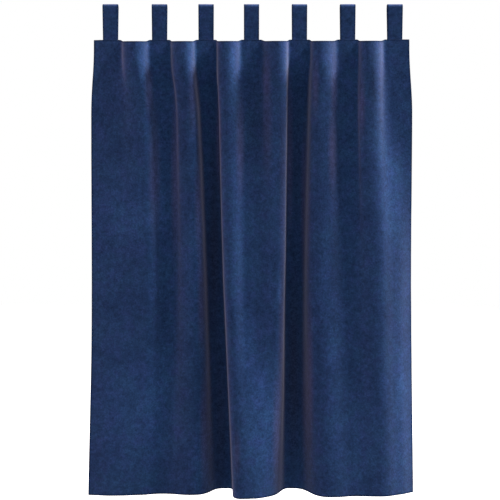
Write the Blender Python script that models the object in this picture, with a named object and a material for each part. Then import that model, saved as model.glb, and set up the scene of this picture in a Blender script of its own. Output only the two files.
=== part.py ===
"""Tab-top velvet curtain: one panel hanging in soft folds from seven fabric tabs.

The frame has its origin on the line of the rod, in the middle tab's loop. +X runs along
the rod to the viewer's right, the face of the cloth looks along -Y, and +Z is up.

Sizes below are in millimetres. The folds are one table: each row is a line of cloth that
runs from the top edge to the hem, alternately under a tab and in the gap between two tabs,
and says where that line hangs at four heights.
"""

import math

import bmesh
import bpy
import numpy as np

MM = 0.001

# Tabs: straps of doubled cloth, each one closed loop for a 19 mm rod
ROD_SPACE = 20.0            # inside width of a loop at the rod
STRAP = 2.0                 # thickness of one side of a loop
TAB_WIDTH = 54.5
TAB_CENTRES = (-503.0, -328.0, -162.0, 0.0, 171.0, 343.0, 511.0)
TAB_SHOWN = 127.0           # from the top of a loop down to the panel's top edge
TAIL = 25.0                 # sewn end of a tab, below the panel's top edge
SEAM_ABOVE_EDGE = 4.0       # the two sides of a loop meet this far above the top edge
ARC_STEPS = 14              # flats round the top of a loop

# Panel: a sheet of velvet with its hems turned and sewn in
CLOTH = 2.0                 # thickness
TOTAL_DROP = 1746.0         # from the top of the loops to the hem
EDGE_RISE = 2.0             # the top edge is this much higher at its right end
SAG_LEAN = 0.24             # how far the top edge drops for each millimetre it leans out
SAG_START = 5.5             # drop that it takes on at once beside a tab
SAG_REACH = 10.0            # lean over which it does so

# Heading: the strip behind the top edge that holds the tails of the tabs
HEADING = 1.5               # thickness
HEADING_DEPTH_ROWS = 2      # it reaches down to this row of the panel
HEADING_SETBACK = 2.0       # it starts this far below the panel's top edge
POCKET_FULL = 42.0          # half width of the pocket round a tail, where it is deepest
POCKET_END = 56.0           # half width where the strip lies against the panel again

GAP = 0.3                   # air between sewn layers
LIE_GAP = 0.4               # air between the heading and the panel's folds

# Navy cotton velvet, as linear red, green and blue
NAVY_FACE = (0.018, 0.032, 0.091)
NAVY_FACING = (0.015, 0.027, 0.078)
PILE_ROUGHNESS = 0.85
PILE_SHEEN = 0.5
CREASE_ANGLE = math.radians(40)     # an edge of a tab that is sharper stays sharp

# The heights of the fold table, down from the top edge. The heading strip holds the folds
# as deep as they are at the top as far as the first, and the sewn tails hold them in
# their places along the rod as far as the first of the second row of heights. With them
# come the cloth that stays flat on each side of a tab's line, and the share of a flank's
# roundness that it has there, because the cloth turns out more sharply beside a tab than
# it does at a crest.
HEIGHTS = (60.0, 190.0, 900.0, 1619.0)
DRIFT_HEIGHTS = (32.0, 260.0, 900.0, 1619.0)    # the same for its places along the rod
FLAT_BY_TAB = (33.0, 14.0, 8.0, 8.0)
TAB_TURN = (0.36, 0.85, 0.80, 0.75)

# One row for each line of cloth. At each of the four heights it has
#   across: place along the rod
#   out:    how far the cloth stands out towards the room, from the plane under the tabs
#   square: shape of the flank to its right, 0.4 a soft slope, 1 one that stands straight
FOLD_COLUMNS = ("across", "out", "square")
FOLDS = (
    ("left_edge", (-562, 1, 0.45), (-570, 6, 0.45), (-567, 13, 0.45), (-579, 13, 0.45)),
    ("tab_1", (-503, 0, 0.85), (-495, 9, 0.66), (-492, 18, 0.50), (-490, 24, 0.50)),
    ("gap_1", (-413, 46, 0.80), (-385, 31, 0.58), (-372, 20, 0.40), (-396, 16, 0.42)),
    ("tab_2", (-328, 0, 0.90), (-315, -7, 0.88), (-300, -14, 0.64), (-316, 2, 0.50)),
    ("gap_2", (-243, 46, 0.85), (-218, 34, 0.82), (-208, 25, 0.84), (-210, 16, 0.66)),
    ("tab_3", (-162, 0, 0.97), (-153, -34, 1.10), (-124, -50, 1.12), (-93, -62, 1.18)),
    ("gap_3", (-93, 46, 0.74), (-83, 44, 0.56), (-69, 58, 0.46), (-36, 61, 0.42)),
    ("tab_4", (0, 0, 0.62), (-12, 20, 0.85), (-12, 41, 0.60), (0, 59, 0.45)),
    ("gap_4", (90, 46, 0.92), (97, 41, 1.08), (86, 45, 1.06), (59, 36, 0.62)),
    ("tab_5", (171, 0, 0.95), (161, -33, 0.88), (149, -47, 0.84), (147, -63, 0.64)),
    ("gap_5", (243, 46, 0.57), (246, 38, 0.60), (245, 42, 0.50), (279, 42, 0.45)),
    ("tab_6", (343, 0, 0.90), (345, 2, 0.90), (353, 19, 0.62), (369, 30, 0.45)),
    ("gap_6", (411, 46, 0.70), (411, 39, 0.64), (438, 39, 0.48), (454, 34, 0.45)),
    ("tab_7", (511, 0, 0.45), (514, 0, 0.45), (512, 11, 0.45), (526, 11, 0.40)),
    ("right_edge", (563, 0, 0.0), (573, 1, 0.0), (575, -30, 0.0), (580, -20, 0.0)),
)

# How finely the sheet is divided
FLANK_COLUMNS = 9
EDGE_COLUMNS = 3            # between a side edge and the tab beside it
FLAT_COLUMNS = 2            # under a tab
CURVE_SAMPLES = 49          # points on a flank's curve, before it is divided evenly
ROWS = (0, 32, 65, 110, 170, 240, 320, 430, 570, 740, 940, 1160, 1390, 1619)

# Places that follow from the sizes above
LOOP_INNER = ROD_SPACE / 2
LOOP_TOP = LOOP_INNER + STRAP
EDGE_Z = LOOP_TOP - TAB_SHOWN
HEM_Z = LOOP_TOP - TOTAL_DROP
PANEL_Y = -(STRAP + GAP + CLOTH / 2)        # middle of the panel's cloth under a tab


def clear_scene():
    for old in list(bpy.data.objects):
        bpy.data.objects.remove(old, do_unlink=True)


# ---------------------------------------------------------------- smooth lines

def easy_slope(before, after):
    """The slope of a smooth line at a point, from the slopes of the runs on each side.

    At a crest or a trough it is level, and it never overshoots between two points.
    """
    if before * after <= 0:
        return 0.0
    return 2 * before * after / (before + after)


def slopes(places, values):
    """The slope of a smooth line through the points, at each of them."""
    runs = [(values[i + 1] - values[i]) / (places[i + 1] - places[i])
            for i in range(len(places) - 1)]
    inner = [easy_slope(runs[i], runs[i + 1]) for i in range(len(runs) - 1)]
    return [runs[0]] + inner + [runs[-1]]


def read_line(places, values, at):
    """A smooth line's value at one place. It is level up to its first point."""
    if at <= places[0]:
        return values[0]
    slope = [0.0] + slopes(places, values)[1:]
    i = min(max(int(np.searchsorted(places, at)) - 1, 0), len(places) - 2)
    run = places[i + 1] - places[i]
    t = (at - places[i]) / run
    return ((1 + 2 * t) * (1 - t) ** 2 * values[i] + t * (1 - t) ** 2 * run * slope[i]
            + t * t * (3 - 2 * t) * values[i + 1] - t * t * (1 - t) * run * slope[i + 1])


def even_points(curve, count):
    """Points that divide a finely drawn curve into equal lengths."""
    steps = np.linalg.norm(np.diff(curve, axis=0), axis=1)
    along = np.concatenate(([0.0], np.cumsum(steps)))
    wanted = np.linspace(0.0, along[-1], count + 1)
    return np.column_stack([np.interp(wanted, along, curve[:, k]) for k in (0, 1)])


def flank(start, end, start_handle, end_handle, count):
    """An S-shaped run of cloth between two lines, divided evenly.

    start and end are (across, out, slope), and a handle is the length over which the
    cloth keeps its direction there.
    """
    first = np.array(start[:2])
    last = np.array(end[:2])
    leave = first + start_handle * np.array((1.0, start[2]))
    arrive = last - end_handle * np.array((1.0, end[2]))
    t = np.linspace(0.0, 1.0, CURVE_SAMPLES)[:, None]
    curve = ((1 - t) ** 3 * first + 3 * (1 - t) ** 2 * t * leave
             + 3 * (1 - t) * t * t * arrive + t ** 3 * last)
    return even_points(curve, count)


# ---------------------------------------------------------------- the folds

def folds_at(down):
    """Each line's name, across, out and square at one height."""
    rows = []
    for name, *heights in FOLDS:
        values = [read_line(HEIGHTS if k else DRIFT_HEIGHTS,
                            [height[k] for height in heights], down)
                  for k in range(len(FOLD_COLUMNS))]
        rows.append((name, *values))
    return rows


def section(down):
    """The level section through the panel: (across, out) for each of its columns."""
    rows = folds_at(down)
    flat = read_line(HEIGHTS, FLAT_BY_TAB, down)
    turn = read_line(HEIGHTS, TAB_TURN, down)
    slope = slopes([row[1] for row in rows], [row[2] for row in rows])
    points = [np.array([rows[0][1:3]])]
    for i in range(len(rows) - 1):
        ends = []
        for k, side in ((i, 1), (i + 1, -1)):
            by_tab = rows[k][0].startswith("tab")
            reach = side * flat if by_tab else 0.0
            ends.append((rows[k][1] + reach, rows[k][2] + reach * slope[k], slope[k], by_tab))
        start, end = ends
        square = rows[i][3] * (end[0] - start[0])
        by_edge = i == 0 or i == len(rows) - 2
        run = flank(start[:3], end[:3], square * (turn if start[3] else 1.0),
                    square * (turn if end[3] else 1.0),
                    EDGE_COLUMNS if by_edge else FLANK_COLUMNS)
        points.append(run[1:])
        if end[3]:
            far = np.array((end[0] + 2 * flat, end[1] + 2 * flat * slope[i + 1]))
            share = np.linspace(0.0, 1.0, FLAT_COLUMNS + 1)[1:, None]
            points.append(run[-1] + share * (far - run[-1]))
    return np.vstack(points)


def panel_grid():
    """The middle of the panel's cloth: rows from the top edge down, columns across."""
    top = section(0.0)
    lean = np.maximum(top[:, 1], 0.0)
    sag = SAG_LEAN * lean + SAG_START * np.tanh(lean / SAG_REACH)
    width = top[-1, 0] - top[0, 0]
    edge_z = EDGE_Z - sag + EDGE_RISE * top[:, 0] / width
    grid = []
    for down in ROWS:
        place = section(down)
        share = down / ROWS[-1]
        z = edge_z + share * (HEM_Z - edge_z)
        grid.append(np.column_stack((place[:, 0], PANEL_Y - place[:, 1], z)))
    return np.array(grid)


def backward_normals(grid):
    """Unit normals of a grid, pointing to the back of the cloth."""
    across = np.gradient(grid, axis=1)
    down = np.gradient(grid, axis=0)
    normal = np.cross(across, down)
    return normal / np.linalg.norm(normal, axis=2, keepdims=True)


def from_tab_centres(row):
    """How far along the cloth each column of a row lies from the nearest tab's middle."""
    steps = np.linalg.norm(np.diff(row, axis=0), axis=1)
    along = np.concatenate(([0.0], np.cumsum(steps)))
    nearest = np.full(len(row), np.inf)
    for centre in TAB_CENTRES:
        middle = np.interp(centre, row[:, 0], along)
        nearest = np.minimum(nearest, np.abs(along - middle))
    return nearest


# ---------------------------------------------------------------- solids

def velvet(name, colour):
    """Cotton velvet: matt, with no metal in it."""
    material = bpy.data.materials.new(name)
    material.use_nodes = True
    shader = material.node_tree.nodes["Principled BSDF"]
    shader.inputs["Base Color"].default_value = (*colour, 1.0)
    shader.inputs["Roughness"].default_value = PILE_ROUGHNESS
    shader.inputs["Metallic"].default_value = 0.0
    shader.inputs["Sheen Weight"].default_value = PILE_SHEEN
    material.diffuse_color = (*colour, 1.0)
    return material


def add_object(name, mesh, material):
    mesh.materials.append(material)
    made = bpy.data.objects.new(name, mesh)
    bpy.context.scene.collection.objects.link(made)
    return made


def sheet(name, grid, front, back, material):
    """A closed sheet of cloth between two offsets of a grid of points.

    front and back are distances towards the back of the cloth, one for each column or
    one for all.
    """
    rows, columns = grid.shape[:2]
    normal = backward_normals(grid)
    faces_at = [grid + normal * np.broadcast_to(side, (columns,))[None, :, None]
                for side in (front, back)]
    points = np.concatenate([side.reshape(-1, 3) for side in faces_at]) * MM
    behind = rows * columns
    faces = []
    for r in range(rows - 1):
        for c in range(columns - 1):
            a = r * columns + c
            b = a + columns
            faces.append((a, b, b + 1))
            faces.append((a, b + 1, a + 1))
            faces.append((behind + a, behind + b + 1, behind + b))
            faces.append((behind + a, behind + a + 1, behind + b + 1))
    rim = list(range(columns))
    rim += [r * columns + columns - 1 for r in range(1, rows)]
    rim += [(rows - 1) * columns + c for c in range(columns - 2, -1, -1)]
    rim += [r * columns for r in range(rows - 2, 0, -1)]
    for here, there in zip(rim, rim[1:] + rim[:1]):
        faces.append((here, there, behind + there, behind + here))
    mesh = bpy.data.meshes.new(name)
    mesh.from_pydata([tuple(point) for point in points], [], faces)
    made = add_object(name, mesh, material)
    mesh.shade_smooth()
    return made


def loop_profile():
    """The tab seen from its side: (inner, outer) pairs of (y, z) along the loop.

    The inner face runs from the seam straight up to the round over the rod and down
    again, and the outer face lies one strap's thickness outside it.
    """
    seam_z = EDGE_Z + SEAM_ABOVE_EDGE
    lean = math.asin(LOOP_INNER / -seam_z)
    pairs = []
    for i in range(ARC_STEPS + 1):
        turn = -lean + i / ARC_STEPS * (math.pi + 2 * lean)
        facing = (math.cos(turn), math.sin(turn))
        pairs.append(tuple((r * facing[0], r * facing[1]) for r in (LOOP_INNER, LOOP_TOP)))
    seam = (0.0, seam_z)
    return [(seam, (STRAP, seam_z))] + pairs + [(seam, (-STRAP, seam_z))]


def tab(name, centre, material):
    """A closed loop of strap with a flat sewn tail, drawn from its side and widened."""
    pairs = loop_profile()
    left = centre - TAB_WIDTH / 2
    shape = bmesh.new()

    def corner(place):
        return shape.verts.new((left * MM, place[0] * MM, place[1] * MM))

    seam = corner(pairs[0][0])
    inner = [seam] + [corner(pair[0]) for pair in pairs[1:-1]] + [seam]
    outer = [corner(pair[1]) for pair in pairs]
    for i in range(len(pairs) - 1):
        ring = [outer[i], outer[i + 1], inner[i + 1], inner[i]]
        shape.faces.new([v for k, v in enumerate(ring) if v not in ring[:k]])
    tail_z = EDGE_Z - TAIL
    bottom = [corner((-STRAP, tail_z)), corner((STRAP, tail_z))]
    shape.faces.new([outer[-1], seam, outer[0], bottom[1], bottom[0]])
    side = bmesh.ops.extrude_face_region(shape, geom=shape.faces[:])
    moved = [part for part in side["geom"] if isinstance(part, bmesh.types.BMVert)]
    bmesh.ops.translate(shape, verts=moved, vec=(TAB_WIDTH * MM, 0.0, 0.0))
    bmesh.ops.recalc_face_normals(shape, faces=shape.faces[:])
    mesh = bpy.data.meshes.new(name)
    shape.to_mesh(mesh)
    shape.free()
    made = add_object(name, mesh, material)
    mesh.shade_smooth()
    mesh.set_sharp_from_angle(angle=CREASE_ANGLE)
    return made


def build_panel(grid, material):
    return sheet("panel", grid, -CLOTH / 2, CLOTH / 2, material)


def build_heading(grid, material):
    """The strip follows the panel's folds and stands off it over each tail."""
    strip = grid[:HEADING_DEPTH_ROWS + 1].copy()
    drop = strip[1] - strip[0]
    share = HEADING_SETBACK / -drop[:, 2:3]
    strip[0] = strip[0] + share * drop
    away = from_tab_centres(grid[0])
    fade = np.clip((POCKET_END - away) / (POCKET_END - POCKET_FULL), 0.0, 1.0)
    close = CLOTH / 2 + LIE_GAP
    pocket = 2 * STRAP + 2 * GAP - LIE_GAP
    front = close + pocket * fade
    return sheet("heading", strip, front, front + HEADING, material)


def main():
    clear_scene()
    grid = panel_grid()
    build_panel(grid, velvet("velvet_face", NAVY_FACE))
    build_heading(grid, velvet("velvet_facing", NAVY_FACING))
    strap = velvet("velvet_strap", NAVY_FACE)
    for number, centre in enumerate(TAB_CENTRES, start=1):
        tab(f"tab_{number}", centre, strap)


main()
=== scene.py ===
"""Navy velvet curtain on fabric tabs: the finished cloth, its thread and a plain studio.

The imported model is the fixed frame: every piece here hangs where its solid hangs. The
folds are drawn from the same table of lines as the solids, on a much finer grid, with
turned hems, rounded edges, stitching and a velvet that changes with the light.

Tables and constants are in millimetres. The sliders in the sidebar are in metres, as
Blender shows them.
"""

import math

import bpy
import numpy as np
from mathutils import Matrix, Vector, noise


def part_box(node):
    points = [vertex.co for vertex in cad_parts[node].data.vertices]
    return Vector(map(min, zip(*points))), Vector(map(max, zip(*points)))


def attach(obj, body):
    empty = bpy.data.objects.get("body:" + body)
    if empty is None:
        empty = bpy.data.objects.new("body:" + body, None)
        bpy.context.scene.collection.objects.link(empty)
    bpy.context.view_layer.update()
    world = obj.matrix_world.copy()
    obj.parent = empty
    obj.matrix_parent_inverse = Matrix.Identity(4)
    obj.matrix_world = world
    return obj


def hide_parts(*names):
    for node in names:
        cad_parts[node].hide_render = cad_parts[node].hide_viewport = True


bl_info = {
    "name": "Tab Top Velvet Curtain",
    "version": (1, 0, 0),
    "blender": (4, 5, 0),
    "location": "3D View > Sidebar > Curtain",
    "description": "Hangs a navy velvet curtain from its fabric tabs and lights it",
    "category": "Object",
}

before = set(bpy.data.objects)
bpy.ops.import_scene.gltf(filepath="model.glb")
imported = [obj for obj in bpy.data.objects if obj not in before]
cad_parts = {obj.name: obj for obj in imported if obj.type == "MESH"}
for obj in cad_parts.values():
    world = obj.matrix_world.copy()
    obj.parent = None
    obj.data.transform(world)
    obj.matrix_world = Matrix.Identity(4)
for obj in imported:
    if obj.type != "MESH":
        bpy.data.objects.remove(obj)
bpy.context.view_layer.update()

MM = 0.001


def in_mm(node):
    """The lowest and highest corner of a solid, in millimetres."""
    return [np.array(corner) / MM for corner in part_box(node)]


# ---------------------------------------------------------------- sizes of the frame

TAB_NODES = sorted(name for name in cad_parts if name.startswith("tab_"))
TAB_LOW, TAB_HIGH = in_mm(TAB_NODES[0])
TAB_CENTRES = [float(sum(corner[0] for corner in in_mm(name)) / 2) for name in TAB_NODES]
TAB_WIDTH = float(TAB_HIGH[0] - TAB_LOW[0])
LOOP_TOP = float(TAB_HIGH[2])               # outer radius of a loop, round the rod's line
TAIL_Z = float(TAB_LOW[2])
HEM_Z = float(in_mm("panel")[0][2])

STRAP = 2.0                 # thickness of one side of a loop
TAIL = 25.0                 # sewn end of a tab, below the panel's top edge
SEAM_ABOVE_EDGE = 4.0       # the two sides of a loop meet this far above the top edge
CLOTH = 2.0                 # space that the panel's cloth takes up
EDGE_RISE = 2.0             # the top edge is this much higher at its right end
SAG_LEAN = 0.24             # how far the top edge drops for each millimetre it leans out
SAG_START = 5.5             # drop that it takes on at once beside a tab
SAG_REACH = 10.0            # lean over which it does so
HEADING = 1.5               # thickness of the heading strip
HEADING_TOP = 2.0           # it starts this far below the panel's top edge
HEADING_FOOT = 65.0         # and ends this far below it
POCKET_FULL = 42.0          # half width of the pocket round a tail, where it is deepest
POCKET_END = 56.0           # half width where the strip lies against the panel again
GAP = 0.3                   # air between sewn layers
LIE_GAP = 0.4               # air between the heading and the panel's folds

EDGE_Z = TAIL_Z + TAIL
PANEL_Y = -(STRAP + GAP + CLOTH / 2)        # middle of the panel's cloth under a tab

# The cut: width across the cloth, and length from the top edge to the hem
CUT_WIDTH = 1400.0
CUT_LENGTH = 1619.0

# ---------------------------------------------------------------- the folds

# Heights of the fold table, down from the top edge, with the cloth that stays flat on
# each side of a tab's line and the share of a flank's roundness that it has there.
HEIGHTS = (60.0, 190.0, 900.0, 1619.0)
DRIFT_HEIGHTS = (32.0, 260.0, 900.0, 1619.0)    # the same for its places along the rod
FLAT_BY_TAB = (33.0, 14.0, 8.0, 8.0)
TAB_TURN = (0.36, 0.85, 0.80, 0.75)

# One row for each line of cloth. At each of the four heights it has
#   across: place along the rod
#   out:    how far the cloth stands out towards the room, from the plane under the tabs
#   square: shape of the flank to its right, 0.4 a soft slope, 1 one that stands straight
FOLD_COLUMNS = ("across", "out", "square")
FOLDS = (
    ("left_edge", (-562, 1, 0.45), (-570, 6, 0.45), (-567, 13, 0.45), (-579, 13, 0.45)),
    ("tab_1", (-503, 0, 0.85), (-495, 9, 0.66), (-492, 18, 0.50), (-490, 24, 0.50)),
    ("gap_1", (-413, 46, 0.80), (-385, 31, 0.58), (-372, 20, 0.40), (-396, 16, 0.42)),
    ("tab_2", (-328, 0, 0.90), (-315, -7, 0.88), (-300, -14, 0.64), (-316, 2, 0.50)),
    ("gap_2", (-243, 46, 0.85), (-218, 34, 0.82), (-208, 25, 0.84), (-210, 16, 0.66)),
    ("tab_3", (-162, 0, 0.97), (-153, -34, 1.10), (-124, -50, 1.12), (-93, -62, 1.18)),
    ("gap_3", (-93, 46, 0.74), (-83, 44, 0.56), (-69, 58, 0.46), (-36, 61, 0.42)),
    ("tab_4", (0, 0, 0.62), (-12, 20, 0.85), (-12, 41, 0.60), (0, 59, 0.45)),
    ("gap_4", (90, 46, 0.92), (97, 41, 1.08), (86, 45, 1.06), (59, 36, 0.62)),
    ("tab_5", (171, 0, 0.95), (161, -33, 0.88), (149, -47, 0.84), (147, -63, 0.64)),
    ("gap_5", (243, 46, 0.57), (246, 38, 0.60), (245, 42, 0.50), (279, 42, 0.45)),
    ("tab_6", (343, 0, 0.90), (345, 2, 0.90), (353, 19, 0.62), (369, 30, 0.45)),
    ("gap_6", (411, 46, 0.70), (411, 39, 0.64), (438, 39, 0.48), (454, 34, 0.45)),
    ("tab_7", (511, 0, 0.45), (514, 0, 0.45), (512, 11, 0.45), (526, 11, 0.40)),
    ("right_edge", (563, 0, 0.0), (573, 1, 0.0), (575, -30, 0.0), (580, -20, 0.0)),
)
CURVE_SAMPLES = 97          # points on a flank's curve
FLAT_SAMPLES = 9            # points on the flat cloth under a tab


def easy_slope(before, after):
    """The slope of a smooth line at a point, from the slopes of the runs on each side."""
    if before * after <= 0:
        return 0.0
    return 2 * before * after / (before + after)


def slopes(places, values):
    """The slope of a smooth line through the points, at each of them."""
    runs = [(values[i + 1] - values[i]) / (places[i + 1] - places[i])
            for i in range(len(places) - 1)]
    inner = [easy_slope(runs[i], runs[i + 1]) for i in range(len(runs) - 1)]
    return [runs[0]] + inner + [runs[-1]]


def read_line(places, values, at):
    """A smooth line's value at one place. It is level up to its first point."""
    if at <= places[0]:
        return values[0]
    slope = [0.0] + slopes(places, values)[1:]
    i = min(max(int(np.searchsorted(places, at)) - 1, 0), len(places) - 2)
    run = places[i + 1] - places[i]
    t = (at - places[i]) / run
    return ((1 + 2 * t) * (1 - t) ** 2 * values[i] + t * (1 - t) ** 2 * run * slope[i]
            + t * t * (3 - 2 * t) * values[i + 1] - t * t * (1 - t) * run * slope[i + 1])


def flank(start, end, start_handle, end_handle):
    """An S-shaped run of cloth between two lines, each (across, out, slope)."""
    first = np.array(start[:2])
    last = np.array(end[:2])
    leave = first + start_handle * np.array((1.0, start[2]))
    arrive = last - end_handle * np.array((1.0, end[2]))
    t = np.linspace(0.0, 1.0, CURVE_SAMPLES)[:, None]
    return ((1 - t) ** 3 * first + 3 * (1 - t) ** 2 * t * leave
            + 3 * (1 - t) * t * t * arrive + t ** 3 * last)


def section(down):
    """The level section through the panel at one height, as a fine (across, out) line."""
    rows = [(name, *(read_line(HEIGHTS if k else DRIFT_HEIGHTS,
                               [height[k] for height in heights], down)
                     for k in range(len(FOLD_COLUMNS))))
            for name, *heights in FOLDS]
    flat = read_line(HEIGHTS, FLAT_BY_TAB, down)
    turn = read_line(HEIGHTS, TAB_TURN, down)
    slope = slopes([row[1] for row in rows], [row[2] for row in rows])
    points = [np.array([rows[0][1:3]])]
    for i in range(len(rows) - 1):
        ends = []
        for k, side in ((i, 1), (i + 1, -1)):
            by_tab = rows[k][0].startswith("tab")
            reach = side * flat if by_tab else 0.0
            ends.append((rows[k][1] + reach, rows[k][2] + reach * slope[k], slope[k], by_tab))
        start, end = ends
        square = rows[i][3] * (end[0] - start[0])
        run = flank(start[:3], end[:3], square * (turn if start[3] else 1.0),
                    square * (turn if end[3] else 1.0))
        points.append(run[1:])
        if end[3]:
            far = np.array((end[0] + 2 * flat, end[1] + 2 * flat * slope[i + 1]))
            share = np.linspace(0.0, 1.0, FLAT_SAMPLES)[1:, None]
            points.append(run[-1] + share * (far - run[-1]))
    return np.vstack(points)


def lengths_along(line):
    """How far along a line each of its points lies."""
    steps = np.linalg.norm(np.diff(line, axis=0), axis=1)
    return np.concatenate(([0.0], np.cumsum(steps)))


def hang(places, depths):
    """The middle of the hanging cloth, for each depth down it and each place across it."""
    top = section(0.0)
    top_along = lengths_along(top)
    at = places / CUT_WIDTH * top_along[-1]
    lean = np.maximum(np.interp(at, top_along, top[:, 1]), 0.0)
    across = np.interp(at, top_along, top[:, 0])
    sag = SAG_LEAN * lean + SAG_START * np.tanh(lean / SAG_REACH)
    edge_z = EDGE_Z - sag + EDGE_RISE * across / (top[-1, 0] - top[0, 0])
    grid = np.empty((len(depths), len(places), 3))
    for r, down in enumerate(depths):
        line = section(down)
        along = lengths_along(line)
        at = places / CUT_WIDTH * along[-1]
        grid[r, :, 0] = np.interp(at, along, line[:, 0])
        grid[r, :, 1] = PANEL_Y - np.interp(at, along, line[:, 1])
        grid[r, :, 2] = edge_z + down / CUT_LENGTH * (HEM_Z - edge_z)
    return grid


# ---------------------------------------------------------------- small helpers

def smooth_step(low, high, value):
    """0 below low, 1 above high, and a soft rise between them."""
    t = np.clip((np.asarray(value, float) - low) / (high - low), 0.0, 1.0)
    return t * t * (3 - 2 * t)


def unit(vectors):
    """The same vectors, each made 1 long."""
    return vectors / np.linalg.norm(vectors, axis=-1, keepdims=True)


def directions(grid):
    """Unit vectors across the cloth, down it, and out of its back."""
    across = unit(np.gradient(grid, axis=1))
    down = unit(np.gradient(grid, axis=0))
    return across, down, unit(np.cross(across, down))


def ruffle(places, depths, sizes, seed):
    """Soft unevenness from -1 to 1 over the cloth; sizes are its reach across and down."""
    values = np.empty((len(depths), len(places)))
    for r, down in enumerate(depths):
        for c, place in enumerate(places):
            values[r, c] = noise.noise(Vector((place / sizes[0], down / sizes[1], seed)))
    return values


def linear(text):
    """A colour written as #rrggbb, as the linear red, green and blue that Blender uses."""
    parts = [int(text[k:k + 2], 16) / 255 for k in (1, 3, 5)]
    return tuple(p / 12.92 if p <= 0.04045 else ((p + 0.055) / 1.055) ** 2.4 for p in parts)


def select_nothing():
    """Deselects everything, as an operator acts on all that is selected."""
    for thing in list(bpy.context.selected_objects):
        thing.select_set(False)


def link_mesh(name, points, faces, materials, material_of=None):
    """A smooth piece from points in millimetres and faces."""
    mesh = bpy.data.meshes.new(name)
    mesh.from_pydata((points * MM).tolist(), [], faces)
    for material in materials:
        mesh.materials.append(material)
    if material_of is not None:
        mesh.polygons.foreach_set("material_index", material_of)
    mesh.shade_smooth()
    mesh.update()
    piece = bpy.data.objects.new(name, mesh)
    bpy.context.scene.collection.objects.link(piece)
    return piece


def on_frame(piece, node_names):
    """The piece hangs on the frame's one body and stands for its solids."""
    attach(piece, "root")
    if node_names:
        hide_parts(*node_names)
    return piece


RIM_STEPS = 4               # flats round a folded edge


def rounded_sheet(grid, front, back):
    """Points and faces of a closed sheet of cloth with rounded edges.

    front and back are the distances of its two faces behind the grid, one for each point.
    Returns the points, the faces, and how many of the faces are on the front and the back.
    """
    rows, columns = grid.shape[:2]
    across, down, normal = directions(grid)
    outward = np.zeros_like(grid)
    outward[0] -= down[0]
    outward[-1] += down[-1]
    outward[:, 0] -= across[:, 0]
    outward[:, -1] += across[:, -1]
    front, back = front[..., None], back[..., None]
    middle, half = (front + back) / 2, (back - front) / 2
    order = [(0, c) for c in range(columns)]
    order += [(r, columns - 1) for r in range(1, rows)]
    order += [(rows - 1, c) for c in range(columns - 2, -1, -1)]
    order += [(r, 0) for r in range(rows - 2, 0, -1)]
    rim = tuple(np.array(order).T)
    points = [(grid + normal * front).reshape(-1, 3), (grid + normal * back).reshape(-1, 3)]
    total = rows * columns
    bands = [rim[0] * columns + rim[1]]
    for k in range(1, RIM_STEPS):
        angle = math.pi * k / RIM_STEPS
        ring = (grid[rim] + normal[rim] * (middle[rim] - half[rim] * math.cos(angle))
                + unit(outward[rim]) * half[rim] * math.sin(angle))
        points.append(ring)
        bands.append(2 * total + (k - 1) * len(order) + np.arange(len(order)))
    bands.append(bands[0] + total)
    r, c = np.meshgrid(np.arange(rows - 1), np.arange(columns - 1), indexing="ij")
    a = (r * columns + c).ravel()
    b = a + columns
    faces = [np.column_stack((a, b, b + 1, a + 1))]
    faces.append(np.column_stack((a, a + 1, b + 1, b)) + total)
    for here, there in zip(bands, bands[1:]):
        faces.append(np.column_stack((here, np.roll(here, -1), np.roll(there, -1), there)))
    return np.vstack(points), np.vstack(faces), len(a)


def mark_cloth(piece, marks):
    """Keeps three numbers for each point, in metres, for patterns that follow the cloth.

    They are its place across and along the flat cloth, and its distance from the edge.
    """
    attribute = piece.data.attributes.new("cloth", "FLOAT_VECTOR", "POINT")
    attribute.data.foreach_set("vector", np.asarray(marks, np.float32).ravel() * MM)


def sheet_marks(piece, places, depths):
    """The marks of a rounded sheet, whose rim has no distance from the edge."""
    flat = np.stack(np.meshgrid(places, depths), axis=-1).reshape(-1, 2)
    far = np.array([places[-1], depths[-1]])
    near = np.array([places[0], depths[0]])
    edge = np.minimum(flat - near, far - flat).min(axis=1, keepdims=True)
    marks = np.zeros((len(piece.data.vertices), 3))
    marks[:2 * len(flat)] = np.tile(np.hstack((flat, edge)), (2, 1))
    return marks


# ---------------------------------------------------------------- settings

class ClothSizes(bpy.types.PropertyGroup):
    """Sizes of the velvet, its hems and its mesh"""
    thickness: bpy.props.FloatProperty(
        name="Velvet thickness", description="Thickness of one layer of velvet, with its pile",
        default=1.2 * MM, min=0.5 * MM, max=2.0 * MM, unit="LENGTH", subtype="DISTANCE")
    thread_step: bpy.props.FloatProperty(
        name="Fineness across", description="Distance between two columns of the mesh",
        default=4.6 * MM, min=4.4 * MM, max=20 * MM, unit="LENGTH", subtype="DISTANCE")
    drop_step: bpy.props.FloatProperty(
        name="Fineness down", description="Distance between two rows of the mesh",
        default=13.5 * MM, min=12 * MM, max=60 * MM, unit="LENGTH", subtype="DISTANCE")
    side_hem: bpy.props.FloatProperty(
        name="Side hem", description="Width of the hem turned to the back at each side",
        default=25 * MM, min=10 * MM, max=60 * MM, unit="LENGTH", subtype="DISTANCE")
    bottom_hem: bpy.props.FloatProperty(
        name="Bottom hem", description="Height of the hem turned to the back at the foot",
        default=80 * MM, min=20 * MM, max=150 * MM, unit="LENGTH", subtype="DISTANCE")
    hem_stitch: bpy.props.FloatProperty(
        name="Hem stitching", description="Distance of the stitching from a hem's inner edge",
        default=3 * MM, min=2 * MM, max=8 * MM, unit="LENGTH", subtype="DISTANCE")
    unevenness: bpy.props.FloatProperty(
        name="Unevenness", description="How far the hanging cloth wavers from its folds",
        default=0.9 * MM, min=0.0, max=2.0 * MM, unit="LENGTH", subtype="DISTANCE")


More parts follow.
